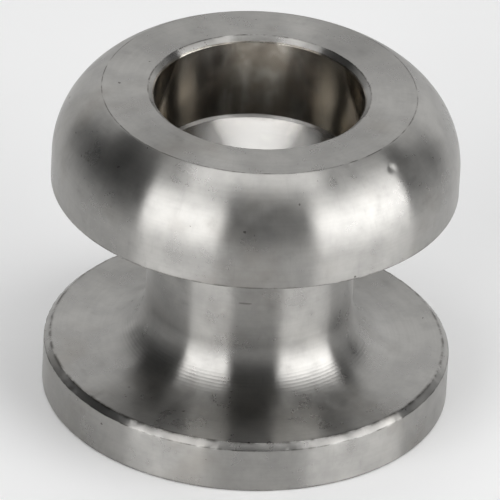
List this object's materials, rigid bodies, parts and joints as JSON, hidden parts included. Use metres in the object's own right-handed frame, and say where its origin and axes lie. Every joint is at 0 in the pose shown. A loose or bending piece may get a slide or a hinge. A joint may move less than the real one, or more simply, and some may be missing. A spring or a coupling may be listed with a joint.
{
  "type": "through-hull fitting",
  "caption": "Two-part stainless through-hull fitting: flanged barrel and screw-in mushroom head that clamp the hull between them, with a stepped through bore, gasket and O-ring.",
  "frame": {"origin": "centre of the underside of the barrel's flange, on the axis of the bore", "axes": "+Z along the bore, from the flange towards the mushroom head; X and Y are any two radii at right angles"},
  "size_m": [0.04, 0.04, 0.0335],
  "materials": {
    "stainless": "fine-turned satin, unpolished",
    "stainless_head": "fine-turned satin, unpolished, stained in the counterbore",
    "acetal": "machined, matt",
    "seal_rubber": "moulded, matt"
  },
  "bodies": {
    "barrel": {"flanged_barrel": "stainless"},
    "seal_stack": {"friction_washer": "acetal", "hull_gasket": "seal_rubber"},
    "head": {"mushroom_head": "stainless_head", "spigot_o_ring": "seal_rubber"}
  },
  "joints": [
    {"name": "head_lift", "type": "slide", "parent": "barrel", "child": "seal_stack", "axis": [0, 0, 1], "range_m": [0, 0.01]},
    {"name": "head_turn", "type": "hinge", "parent": "seal_stack", "child": "head", "pos_m": [0, 0, 0.0232], "axis": [0, 0, 1], "range_deg": [0, 1800]}
  ],
  "couplings": [
    {"joint": "head_lift", "follows": "head_turn", "m_per_rad": 0.00031831}
  ]
}
